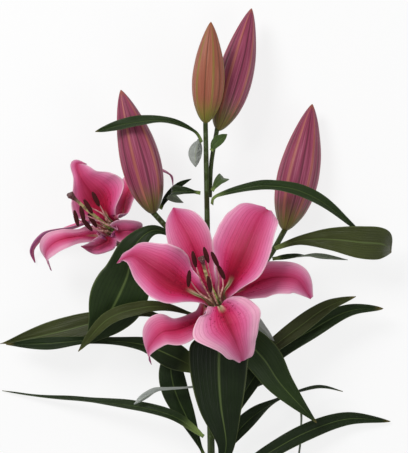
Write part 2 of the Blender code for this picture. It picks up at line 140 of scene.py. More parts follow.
def growBlade(plan, frames):
    # a leaf or tepal: one sheet laid along its frames, then thickened from its upper face
    shape = bmesh.new()
    place = shape.verts.layers.float_color.new("bladePlace")
    bmesh.ops.create_grid(shape, x_segments=plan["grid"][0], y_segments=plan["grid"][1], size=0.5)
    for vertex in shape.verts:
        along = vertex.co.x + 0.5
        across = vertex.co.y * 2
        reach = abs(across)
        point, widths, side, normal = frameAt(frames, along)
        # left of the growth direction first, right of it second; the midrib stays smooth between them
        halfWidth = widths[1] + (widths[0] - widths[1]) * easeIn(across, -0.35, 0.35)
        lift = plan["cup"] * halfWidth * reach ** plan["bend"]
        curl = plan.get("curl", 0.0) * halfWidth * max(reach - curlStart, 0.0) ** 2
        lift -= curl * easeIn(along, 0.25, 0.6)
        middle = math.exp(-(across * halfWidth / plan["ribWidth"]) ** 2)
        lift -= plan["rib"] * middle * easeIn(along, 0.02, 0.15) * (1 - easeIn(along, 0.85, 1.0))
        for height, count, phase in plan.get("waves", ()):
            turn = count * along + phase + (0.37 if across > 0 else 0.0)
            ends = easeIn(along, 0.2, 0.4) * (1 - easeIn(along, 0.88, 1.0))
            lift += height * ends * reach ** 2.5 * math.sin(2 * math.pi * turn)
        ripple = noise.noise(Vector((along * 7, across * 2.2, plan["seed"])))
        lift += plan["ripple"] * ripple * easeIn(along, 0.1, 0.3) * min(halfWidth / 8, 1.0)
        tear = noise.noise(Vector((along * 11, across, plan["seed"] + 9)))
        sway = plan.get("fray", 0.0) * tear * reach ** 3
        width = halfWidth * (1 + sway)
        vertex.co = (point + side * (across * width) + normal * lift) * mm
        vertex[place] = (along, across, 0.0, plan["tone"])
    shape.normal_update()
    up = [vertex.normal.copy() for vertex in shape.verts]
    # the grid's own turn decides which way its faces point
    halfway = frameAt(frames, 0.5)
    middleFace = min(shape.faces, key=lambda face: (face.calc_center_median() - halfway[0] * mm).length)
    flip = 1.0 if middleFace.normal.dot(halfway[3]) > 0 else -1.0
    shape.verts.index_update()
    grown = bmesh.ops.extrude_face_region(shape, geom=shape.faces[:], use_keep_orig=True)
    under = [item for item in grown["geom"] if isinstance(item, bmesh.types.BMVert)]
    shape.verts.ensure_lookup_table()
    nearest = {tuple(round(value, 7) for value in vertex.co): up[vertex.index]
               for vertex in shape.verts if 0 <= vertex.index < len(up)}
    for vertex in under:
        along, across = vertex[place][:2]
        normal = nearest[tuple(round(value, 7) for value in vertex.co)] * flip
        thin = plan["thick"] * (1 - 0.55 * abs(across) ** 3) * (1 - 0.4 * along)
        vertex.co -= normal * thin * mm
        vertex[place] = (along, across, 1.0, plan["tone"])
    settle(plan["node"], shape, plan["skin"])


def tubeShape(plan):
    # a round stalk: a capped ring is drawn out row by row
    rows = smoothRows(plan["route"], plan["rings"])
    points = [Vector(row[:3]) for row in rows]
    shape = bmesh.new()
    place = shape.verts.layers.float_color.new("stalkPlace")
    bmesh.ops.create_circle(shape, cap_ends=True, segments=plan["sides"], radius=1.0)
    side = None
    cap = shape.faces[:][0]
    order = [math.atan2(vertex.co.y, vertex.co.x) for vertex in cap.verts]
    total = len(rows) - 1
    for index, row in enumerate(rows):
        tangent = (points[min(index + 1, total)] - points[max(index - 1, 0)]).normalized()
        if side is None:
            side = tangent.orthogonal()
        side = (side - side.dot(tangent) * tangent).normalized()
        other = tangent.cross(side)
        if index:
            grown = bmesh.ops.extrude_face_region(shape, geom=[cap], use_keep_orig=index == 1)
            cap = [item for item in grown["geom"] if isinstance(item, bmesh.types.BMFace)][0]
        for vertex, angle in zip(cap.verts, order):
            radius = row[3] * plan["swell"](index / total, angle) if "swell" in plan else row[3]
            vertex.co = (points[index] + (side * math.cos(angle) + other * math.sin(angle)) * radius) * mm
            vertex[place] = (math.cos(angle), math.sin(angle), index / total, plan.get("tone", 0.0))
    return shape


def tint(red, green, blue):
    return tuple((value / 255 / 12.92 if value <= 10 else ((value / 255 + 0.055) / 1.055) ** 2.4)
                 for value in (red, green, blue)) + (1.0,)


def addNode(tree, kind, **inputs):
    node = tree.nodes.new(kind)
    for key, value in inputs.items():
        feed(tree, value, node.inputs[key])
    return node


def feed(tree, value, socket):
    if isinstance(value, bpy.types.NodeSocket):
        tree.links.new(value, socket)
    else:
        socket.default_value = value


def maths(tree, operation, first, second=0.0, third=0.0):
    node = tree.nodes.new("ShaderNodeMath")
    node.operation = operation
    feed(tree, first, node.inputs[0])
    feed(tree, second, node.inputs[1])
    feed(tree, third, node.inputs[2])
    return node.outputs[0]


def times(tree, first, second):
    return maths(tree, "MULTIPLY", first, second)


def timesPlus(tree, first, second, third):
    return maths(tree, "MULTIPLY_ADD", first, second, third)


def minus(tree, first, second):
    return maths(tree, "SUBTRACT", first, second)


def fade(tree, value, low, high):
    # 0 below low, 1 above high, smooth between; turned round where low is the larger
    node = tree.nodes.new("ShaderNodeMapRange")
    node.interpolation_type = "SMOOTHSTEP"
    feed(tree, value, node.inputs["Value"])
    if low < high:
        node.inputs["From Min"].default_value, node.inputs["From Max"].default_value = low, high
    else:
        node.inputs["From Min"].default_value, node.inputs["From Max"].default_value = high, low
        node.inputs["To Min"].default_value, node.inputs["To Max"].default_value = 1.0, 0.0
    return node.outputs["Result"]


def ramp(tree, value, stops):
    node = tree.nodes.new("ShaderNodeValToRGB")
    feed(tree, value, node.inputs[0])
    points = node.color_ramp.elements
    while len(points) < len(stops):
        points.new(0.5)
    for point, (position, colour) in zip(points, stops):
        point.position = position
        point.color = tint(*colour)
    return node.outputs[0]


def blendColour(tree, factor, first, second):
    node = tree.nodes.new("ShaderNodeMix")
    node.data_type = "RGBA"
    feed(tree, factor, node.inputs[0])
    feed(tree, first, node.inputs[6])
    feed(tree, second, node.inputs[7])
    return node.outputs[2]


def stretch(tree, vector, x, y, z):
    node = tree.nodes.new("ShaderNodeVectorMath")
    node.operation = "MULTIPLY"
    feed(tree, vector, node.inputs[0])
    node.inputs[1].default_value = (x, y, z)
    return node.outputs[0]


def grain(tree, vector, scale, detail=3.0):
    return addNode(tree, "ShaderNodeTexNoise", Vector=vector, Scale=scale, Detail=detail).outputs[0]


def startGroup(name, inputs, outputs):
    group = bpy.data.node_groups.new(name, "ShaderNodeTree")
    for label, kind, value in inputs:
        socket = group.interface.new_socket(label, in_out="INPUT", socket_type=kind)
        if value is not None:
            socket.default_value = value
    for label, kind in outputs:
        group.interface.new_socket(label, in_out="OUTPUT", socket_type=kind)
    return group, group.nodes.new("NodeGroupInput").outputs, group.nodes.new("NodeGroupOutput").inputs


def useGroup(tree, group, **inputs):
    node = tree.nodes.new("ShaderNodeGroup")
    node.node_tree = group
    for key, value in inputs.items():
        feed(tree, value, node.inputs[key])
    return node.outputs


def startSkin(name, roughness, coat=0.0):
    material = bpy.data.materials.new(name)
    material.use_nodes = True
    tree = material.node_tree
    shader = tree.nodes["Principled BSDF"]
    shader.inputs["Roughness"].default_value = roughness
    shader.inputs["Coat Weight"].default_value = coat
    shader.inputs["Coat Roughness"].default_value = 0.3
    shader.inputs["Specular IOR Level"].default_value = 0.22
    return material, tree, shader


def placeOf(tree, attribute):
    node = tree.nodes.new("ShaderNodeAttribute")
    node.attribute_name = attribute
    parts = addNode(tree, "ShaderNodeSeparateXYZ", Vector=node.outputs["Vector"]).outputs
    return node.outputs["Vector"], parts[0], parts[1], parts[2], node.outputs["Alpha"]


def bump(tree, shader, height, distance, strength=1.0):
    node = addNode(tree, "ShaderNodeBump", Height=height)
    node.inputs["Distance"].default_value = distance * mm
    node.inputs["Strength"].default_value = strength
    feed(tree, node.outputs[0], shader.inputs["Normal"])


# veins that run the length of a blade and close up towards its tip
longVeins, took, gives = startGroup("longVeins", (
    ("Place", "NodeSocketVector", None), ("Count", "NodeSocketFloat", 12.0),
    ("Wander", "NodeSocketFloat", 0.4)), (("Line", "NodeSocketFloat"), ("Streak", "NodeSocketFloat")))
parts = addNode(longVeins, "ShaderNodeSeparateXYZ", Vector=took["Place"]).outputs
drift = grain(longVeins, stretch(longVeins, took["Place"], 3.0, 1.5, 4.0), 1.0, 2.0)
bent = timesPlus(longVeins, drift, took["Wander"], times(longVeins, parts[1], took["Count"]))
wave = maths(longVeins, "PINGPONG", bent, 0.5)
feed(longVeins, fade(longVeins, wave, 0.16, 0.0), gives["Line"])
lengthwise = stretch(longVeins, took["Place"], 1.6, 34.0, 7.0)
feed(longVeins, grain(longVeins, lengthwise, 1.0, 4.0), gives["Streak"])

# tiny cells of living skin, the same size on every piece
skinCells, took, gives = startGroup("skinCells", (("Size", "NodeSocketFloat", 900.0),),
                                    (("Cells", "NodeSocketFloat"), ("Patches", "NodeSocketFloat")))
spot = skinCells.nodes.new("ShaderNodeTexCoord").outputs["Object"]
feed(skinCells, grain(skinCells, spot, took["Size"], 2.0), gives["Cells"])
feed(skinCells, grain(skinCells, spot, 38.0, 3.0), gives["Patches"])


def tepalSkin(name, face, tips, throat, back, vein, furrow):
    # face, tips and back run from the midrib to the rim; throat from the hub outwards
    material, tree, shader = startSkin(name, 0.5)
    vector, along, across, side, tone = placeOf(tree, "bladePlace")
    reach = maths(tree, "ABSOLUTE", across)
    veins = useGroup(tree, longVeins, Place=vector, Count=9.0, Wander=0.5)
    fine = useGroup(tree, longVeins, Place=vector, Count=26.0, Wander=1.2)
    cells = useGroup(tree, skinCells, Size=700.0)
    loose = timesPlus(tree, veins["Streak"], 0.3, minus(tree, reach, 0.15))
    loose = timesPlus(tree, cells["Patches"], 0.14, minus(tree, loose, 0.07))
    # a high tone pales the whole face, a low one deepens it
    loose = timesPlus(tree, tone, 0.8, minus(tree, loose, 0.4))
    colour = ramp(tree, loose, face)
    nearTip = timesPlus(tree, veins["Streak"], 0.25, along)
    colour = blendColour(tree, fade(tree, nearTip, 0.55, 1.12), colour, ramp(tree, loose, tips))
    # the red line of the midrib, strongest in the lower half
    line = times(tree, fade(tree, reach, 0.055, 0.0),
                 times(tree, fade(tree, along, 0.1, 0.25), fade(tree, along, 0.95, 0.5)))
    colour = blendColour(tree, times(tree, line, 0.7), colour, tint(*vein))
    dark = times(tree, maths(tree, "MAXIMUM", veins["Line"], times(tree, fine["Line"], 0.6)), 0.22)
    colour = blendColour(tree, dark, colour, tint(*vein))
    # raised freckles round the throat
    dots = tree.nodes.new("ShaderNodeTexVoronoi")
    dots.inputs["Scale"].default_value = 1.0
    feed(tree, stretch(tree, vector, 42.0, 11.0, 3.0), dots.inputs["Vector"])
    field = times(tree, times(tree, fade(tree, along, 0.2, 0.3), fade(tree, along, 0.62, 0.42)),
                  fade(tree, reach, 0.75, 0.4))
    freckle = times(tree, fade(tree, dots.outputs["Distance"], 0.34, 0.2), field)
    colour = blendColour(tree, times(tree, freckle, 0.75), colour, tint(*vein))
    # green nectar furrow with pale raised lips, only low on the midrib
    low = fade(tree, along, 0.42, 0.3)
    lips = times(tree, times(tree, fade(tree, reach, 0.2, 0.11), low), furrow)
    trough = times(tree, times(tree, fade(tree, reach, 0.1, 0.03), low), furrow)
    colour = blendColour(tree, fade(tree, along, 0.3, 0.14), colour, ramp(tree, reach, throat))
    colour = blendColour(tree, times(tree, lips, 0.85), colour, tint(228, 214, 180))
    colour = blendColour(tree, times(tree, trough, 0.95), colour, tint(112, 134, 52))
    # pale rim
    colour = blendColour(tree, times(tree, fade(tree, reach, 0.93, 1.0), 0.55), colour,
                         tint(246, 214, 222))
    outside = ramp(tree, timesPlus(tree, veins["Streak"], 0.3, minus(tree, reach, 0.15)), back)
    outside = blendColour(tree, times(tree, veins["Line"], 0.3), outside, tint(*vein))
    outside = blendColour(tree, fade(tree, along, 0.3, 0.08), outside, tint(150, 165, 95))
    colour = blendColour(tree, side, colour, outside)
    feed(tree, colour, shader.inputs["Base Color"])
    feed(tree, timesPlus(tree, cells["Patches"], 0.25, 0.36), shader.inputs["Roughness"])
    height = timesPlus(tree, veins["Line"], -0.5, times(tree, veins["Streak"], 0.8))
    height = timesPlus(tree, fine["Line"], -0.25, height)
    height = timesPlus(tree, cells["Cells"], 0.18, height)
    height = timesPlus(tree, freckle, 1.1, height)
    height = timesPlus(tree, minus(tree, lips, trough), 1.4, height)
    bump(tree, shader, height, 0.5, 0.8)
    return material


def leafSkin(name, face, back, shine):
    # face runs from dark to light by the piece's tone and its streaks
    material, tree, shader = startSkin(name, 0.38, coat=shine)
    vector, along, across, side, tone = placeOf(tree, "bladePlace")
    reach = maths(tree, "ABSOLUTE", across)
    veins = useGroup(tree, longVeins, Place=vector, Count=7.0, Wander=0.25)
    fine = useGroup(tree, longVeins, Place=vector, Count=19.0, Wander=0.5)
    cells = useGroup(tree, skinCells, Size=1100.0)
    level = timesPlus(tree, veins["Streak"], 0.35, minus(tree, tone, 0.175))
    level = timesPlus(tree, cells["Patches"], 0.3, minus(tree, level, 0.15))
    colour = ramp(tree, level, face)
    lines = maths(tree, "MAXIMUM", times(tree, veins["Line"], 0.8), times(tree, fine["Line"], 0.4))
    colour = blendColour(tree, times(tree, lines, 0.4), colour, tint(*face[0][1]))
    rib = times(tree, fade(tree, reach, 0.07, 0.01), fade(tree, along, 0.98, 0.8))
    colour = blendColour(tree, times(tree, rib, 0.45), colour, tint(108, 128, 70))
    colour = blendColour(tree, times(tree, fade(tree, reach, 0.93, 1.0), 0.5), colour, tint(110, 122, 72))
    colour = blendColour(tree, fade(tree, along, 0.14, 0.02), colour, tint(120, 140, 75))
    colour = blendColour(tree, times(tree, fade(tree, along, 0.95, 1.0), 0.6), colour, tint(120, 105, 55))
    under = ramp(tree, timesPlus(tree, veins["Streak"], 0.7, 0.15), back)
    under = blendColour(tree, times(tree, lines, 0.45), under, tint(*back[0][1]))
    under = blendColour(tree, times(tree, rib, 0.6), under, tint(150, 160, 120))
    feed(tree, blendColour(tree, side, colour, under), shader.inputs["Base Color"])
    rough = timesPlus(tree, cells["Patches"], 0.25, 0.26)
    feed(tree, timesPlus(tree, side, 0.2, rough), shader.inputs["Roughness"])
    height = timesPlus(tree, lines, -0.7, times(tree, veins["Streak"], 0.5))
    height = timesPlus(tree, cells["Cells"], 0.12, height)
    bump(tree, shader, height, 0.45, 0.75)
    return material


def budSkin(name, base, body, rib, seam):
    material, tree, shader = startSkin(name, 0.45, coat=0.05)
    vector, turnX, turnY, along, ribs = placeOf(tree, "budPlace")
    cells = useGroup(tree, skinCells, Size=900.0)
    streak = grain(tree, stretch(tree, vector, 7.0, 7.0, 1.4), 2.2, 4.0)
    loose = timesPlus(tree, minus(tree, streak, 0.5), 0.3, along)
    foot = ramp(tree, streak, base)
    colour = blendColour(tree, fade(tree, loose, 0.05, 0.3), foot, ramp(tree, streak, body))
    crest = times(tree, fade(tree, ribs, 0.75, 1.0), fade(tree, along, 0.02, 0.2))
    colour = blendColour(tree, times(tree, crest, 0.75), colour, ramp(tree, streak, rib))
    colour = blendColour(tree, times(tree, fade(tree, ribs, -0.88, -1.0), 0.7), colour, tint(*seam))
    colour = blendColour(tree, times(tree, fade(tree, along, 0.93, 1.0), 0.7), colour, tint(150, 86, 50))
    feed(tree, colour, shader.inputs["Base Color"])
    feed(tree, timesPlus(tree, cells["Patches"], 0.25, 0.32), shader.inputs["Roughness"])
    height = timesPlus(tree, cells["Cells"], 0.15, streak)
    bump(tree, shader, height, 0.5, 0.7)
    return material


def stalkSkin(name, dark, light, blush):
    material, tree, shader = startSkin(name, 0.42, coat=0.08)
    vector, turnX, turnY, along, tone = placeOf(tree, "stalkPlace")
    cells = useGroup(tree, skinCells, Size=1200.0)
    streak = grain(tree, stretch(tree, vector, 5.0, 5.0, 6.0), 1.6, 4.0)
    colour = ramp(tree, streak, ((0.3, dark), (0.7, light)))
    colour = blendColour(tree, times(tree, fade(tree, cells["Patches"], 0.5, 0.72), 0.45), colour,
                         tint(*blush))
    # a fresh cut, pale and damp, at the lower end
    feed(tree, blendColour(tree, times(tree, fade(tree, along, 0.004, 0.0), tone), colour,
                           tint(176, 188, 128)), shader.inputs["Base Color"])
    feed(tree, timesPlus(tree, streak, 0.25, 0.3), shader.inputs["Roughness"])
    bump(tree, shader, timesPlus(tree, cells["Cells"], 0.3, streak), 0.35, 0.7)
    return material


def stamenSkin():
    material, tree, shader = startSkin("pollenAndFilament", 0.8)
    vector, turnX, turnY, along, part = placeOf(tree, "stalkPlace")
    cells = useGroup(tree, skinCells, Size=2600.0)
    thread = ramp(tree, along, ((0.0, (196, 206, 140)), (0.5, (222, 170, 160)), (1.0, (206, 130, 140))))
    pollen = ramp(tree, cells["Cells"], ((0.3, (30, 4, 8)), (0.55, (62, 12, 14)), (0.75, (98, 34, 26))))
    feed(tree, blendColour(tree, part, thread, pollen), shader.inputs["Base Color"])
    feed(tree, timesPlus(tree, part, 0.45, 0.4), shader.inputs["Roughness"])
    bump(tree, shader, times(tree, cells["Cells"], timesPlus(tree, part, 0.9, 0.1)), 0.3, 0.9)
    return material


def pistilSkin():
    material, tree, shader = startSkin("pistilFlesh", 0.3, coat=0.25)
    vector, turnX, turnY, along, part = placeOf(tree, "stalkPlace")
    cells = useGroup(tree, skinCells, Size=1500.0)
    colour = ramp(tree, along, ((0.0, (60, 92, 40)), (0.3, (78, 112, 44)), (0.42, (158, 172, 92)),
                                (0.75, (196, 186, 128)), (0.93, (150, 110, 90))))
    # the stigma is dark, and the pale cream specks where the cell noise runs high are painted glints of its
    # wet, glossy skin
    top = ramp(tree, cells["Cells"], ((0.3, (48, 12, 22)), (0.6, (96, 44, 48)), (0.8, (200, 190, 170))))
    colour = blendColour(tree, part, colour, top)
    feed(tree, blendColour(tree, times(tree, cells["Patches"], 0.2), colour, tint(110, 60, 60)),
         shader.inputs["Base Color"])
    feed(tree, timesPlus(tree, cells["Patches"], 0.2, 0.2), shader.inputs["Roughness"])
    bump(tree, shader, cells["Cells"], 0.3, 0.6)
    return material


pinkFace = ((0.0, (146, 2, 40)), (0.26, (164, 8, 52)), (0.48, (196, 36, 92)), (0.7, (212, 84, 138)),
            (0.9, (222, 130, 172)), (1.0, (232, 164, 192)))
pinkTips = ((0.0, (192, 52, 102)), (0.35, (206, 86, 136)), (0.7, (220, 126, 168)), (1.0, (232, 170, 196)))
pinkThroat = ((0.0, (150, 160, 84)), (0.35, (208, 172, 140)), (0.8, (204, 96, 130)), (1.0, (208, 120, 156)))
pinkBack = ((0.0, (176, 86, 112)), (0.3, (178, 78, 128)), (0.7, (158, 66, 122)), (1.0, (214, 140, 180)))
petalSkin = tepalSkin("petalPink", pinkFace, pinkTips, pinkThroat, pinkBack, (138, 2, 42), 1.0)
sepalFace = ((0.0, (178, 16, 62)), (0.3, (196, 34, 82)), (0.6, (206, 70, 118)), (0.85, (216, 108, 150)),
             (1.0, (228, 152, 182)))
sepalSkin = tepalSkin("sepalPink", sepalFace, pinkTips, pinkThroat, pinkBack, (142, 6, 46), 0.35)
leafDark = leafSkin("leafDark",
                    ((0.0, (6, 16, 2)), (0.35, (24, 40, 10)), (0.7, (48, 68, 26)), (1.0, (78, 98, 48))),
                    ((0.0, (84, 96, 76)), (0.5, (112, 122, 104)), (1.0, (150, 158, 144))), 0.0)
leafOlive = leafSkin("leafOlive",
                     ((0.0, (22, 26, 6)), (0.35, (48, 54, 20)), (0.7, (72, 80, 38)), (1.0, (100, 108, 64))),
                     ((0.0, (92, 102, 78)), (0.5, (124, 132, 108)), (1.0, (162, 168, 150))), 0.0)
leafPale = leafSkin("leafPale", ((0.0, (30, 46, 16)), (0.5, (70, 92, 44)), (1.0, (112, 132, 80))),
                    ((0.0, (112, 120, 110)), (0.5, (168, 174, 168)), (1.0, (214, 217, 212))), 0.0)
budMauve = budSkin("budMauve", ((0.3, (84, 80, 30)), (0.7, (120, 108, 56))),
                   ((0.25, (108, 38, 58)), (0.5, (140, 60, 86)), (0.75, (164, 88, 112))),
                   ((0.3, (158, 84, 74)), (0.7, (178, 114, 92))), (70, 22, 34))
budWarm = budSkin("budWarm", ((0.3, (104, 104, 34)), (0.7, (134, 130, 56))),
                  ((0.25, (140, 74, 62)), (0.5, (150, 88, 66)), (0.75, (166, 104, 82))),
                  ((0.3, (124, 108, 44)), (0.7, (140, 124, 60))), (92, 52, 30))
stemSkin = stalkSkin("stemGreen", (34, 46, 18), (66, 82, 34), (62, 54, 30))
pollenSkin = stamenSkin()
fleshSkin = pistilSkin()
print("finishes made")


stem = {"node": "stem", "rings": 150, "sides": 28, "tone": 1.0,
    "cut": (10, -180, 5), "top": (1.5, 312, 61), "radii": (4.6, 2.3), "rise": 1.8, "taper": 1.3,
    "runOn": (0, 5, 1)}


def stemPoint(height):
    cut, top = stem["cut"], stem["top"]
    left = 1 - (height - cut[1]) / (top[1] - cut[1])
    low, high = stem["radii"]
    return (top[0] + (cut[0] - top[0]) * left, height, top[2] - (top[2] - cut[2]) * left ** stem["rise"],
            high + (low - high) * left ** stem["taper"])


def fullRoute(plan):
    # a stalk's or leaf's places, from where it leaves the stem or from its own root
    if "root" in plan:
        return [plan["root"]] + plan["route"]
    height, beside, above = plan["leavesStem"]
    x, y, z = stemPoint(height)[:3]
    return [(x + beside, y, z + above)] + plan["route"]


stemRows = 24
stem["route"] = [stemPoint(stem["cut"][1] + (stem["top"][1] - stem["cut"][1]) * row / stemRows)
                 for row in range(stemRows + 1)]

# the plant is laid out in its own millimetres, then moved onto the stem's place in the frame
plantShift = Vector((0.0, 0.0, 0.0))
trial = tubeShape(stem)
stemLow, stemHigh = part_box("stem")
trialLow = [min(vertex.co[axis] for vertex in trial.verts) for axis in range(3)]
trialHigh = [max(vertex.co[axis] for vertex in trial.verts) for axis in range(3)]
plantShift = (Vector(stemLow) + Vector(stemHigh) - Vector(trialLow) - Vector(trialHigh)) / 2
trial.free()
stem["swell"] = lambda along, angle: 1 + 0.03 * math.sin(5 * angle) + 0.04 * noise.noise(
    Vector((along * 30, math.cos(angle), math.sin(angle))))
# its end runs on a little into the highest bud
end = [place + more for place, more in zip(stem["top"], stem["runOn"])]
stem["route"].append((*end, stem["radii"][1]))
settle("stem", tubeShape(stem), stemSkin)
print("stem laid at", [round(value, 5) for value in plantShift])

stalks = [
    {"node": "pedicel_bud_top_right",
     "leavesStem": (243, 3, -4), "route": [(7, 275, 54), (12, 305, 49)], "radii": (1.9, 2.4)},
    {"node": "pedicel_bud_left",
     "leavesStem": (176, -6, -1), "route": [(-15, 196, 53), (-32, 211, 51), (-46, 226, 48)],
     "radii": (2.3, 2.8)},
    {"node": "pedicel_bud_right",
     "leavesStem": (155, 5, 0), "route": [(40, 165, 46), (61, 184, 34), (77, 210, 22)],
     "radii": (2.4, 2.8)},
    {"node": "pedicel_front_flower",
     "leavesStem": (124, 0, 6.5), "route": [(12, 124, 60), (18, 124, 62), (21, 127, 66)],
     "radii": (2.4, 3.2)},
    {"node": "pedicel_left_flower",
     "leavesStem": (144, -8, -2),
     "route": [(-23, 160, 44), (-43, 176, 34), (-60, 191, 23), (-69, 199, 22)],
     "radii": (2.3, 3)}]
stalkRunOn = 4


def stalkSwell(along, angle):
    return 1 + 0.04 * math.sin(3 * angle + 4 * along)


for stalk in stalks:
    places = [Vector(place) for place in fullRoute(stalk)]
    # the far end runs on a little into its bud or flower
    places.append(places[-1] + (places[-1] - places[-2]).normalized() * stalkRunOn)
    thin, thick = stalk["radii"]
    stalk.update({"rings": 40, "sides": 20, "swell": stalkSwell})
    stalk["route"] = [(*place, thin + (thick - thin) * index / (len(places) - 1))
                      for index, place in enumerate(places)]
    settle(stalk["node"], tubeShape(stalk), stemSkin)
print("flower stalks grown")


budShape = {"lowness": 0.78, "fullness": 0.75, "corner": 0.03, "fold": 0.045, "seam": -0.035, "dip": 0.02,
    "uneven": 0.012}


def budOutline(along):
    if not 0 < along < 1:
        return 0.0
    return math.sin(math.pi * along ** budShape["lowness"]) ** budShape["fullness"]


def growBud(plan):
    # a ball drawn out from base to tip, its folded sepals raised along their ribs
    shape = bmesh.new()
    place = shape.verts.layers.float_color.new("budPlace")
    bmesh.ops.create_uvsphere(shape, u_segments=96, v_segments=72, radius=1.0)
    base, tip = Vector(plan["base"]), Vector(plan["tip"])
    axis = tip - base
    turn = axis.to_track_quat("Z", "Y")
    bow = Vector(plan["bow"])
    for vertex in shape.verts:
        along = min(max((vertex.co.z + 1) / 2, 0.0), 1.0)
        angle = math.atan2(vertex.co.y, vertex.co.x) + math.radians(plan["twist"]) * along
        three = math.cos(3 * (angle - math.radians(plan["turn"])))
        folds = math.cos(6 * (angle - math.radians(plan["turn"])))
        ends = easeIn(along, 0.03, 0.2) * (1 - easeIn(along, 0.93, 1.0))
        ridge = budShape["corner"] * three + budShape["fold"] * max(folds, 0.0) ** 4
        dip = budShape["dip"] * math.exp(-((folds - 0.3) / 0.2) ** 2)
        groove = budShape["seam"] * max(-folds, 0.0) ** 8 - dip
        wide = plan["radius"] * budOutline(along) * (1 + (ridge + groove) * ends)
        lump = noise.noise(Vector((along * 9, math.cos(angle) * 1.5, math.sin(angle) * 1.5)))
        wide *= 1 + budShape["uneven"] * lump
        local = Vector((wide * math.cos(angle), wide * math.sin(angle), along * axis.length))
        vertex.co = (base + turn @ local + bow * math.sin(math.pi * along)) * mm
        vertex[place] = (math.cos(angle), math.sin(angle), along, folds)
    settle(plan["node"], shape, plan["skin"])


buds = [
    {"node": "bud_top_left", "skin": budWarm, "base": (1.5, 313, 61.5), "tip": (6.5, 408, 79), "radius": 15,
     "turn": 50, "twist": 0, "bow": (0, 0, 0)},
    {"node": "bud_top_right", "skin": budMauve, "base": (13.5, 306.5, 49), "tip": (46, 426, 25),
     "radius": 17, "turn": 75, "twist": 10, "bow": (1.5, 0, 0)},
    {"node": "bud_left", "skin": budMauve, "base": (-48, 227, 48), "tip": (-79, 345, 62), "radius": 18.5,
     "turn": 10, "twist": 8, "bow": (1.5, 0, 0)},
    {"node": "bud_right", "skin": budMauve, "base": (78, 211, 21), "tip": (105, 334, 17), "radius": 19.5,
     "turn": 65, "twist": -6, "bow": (1, 0, 0)}]
for bud in buds:
    growBud(bud)
print("buds closed")


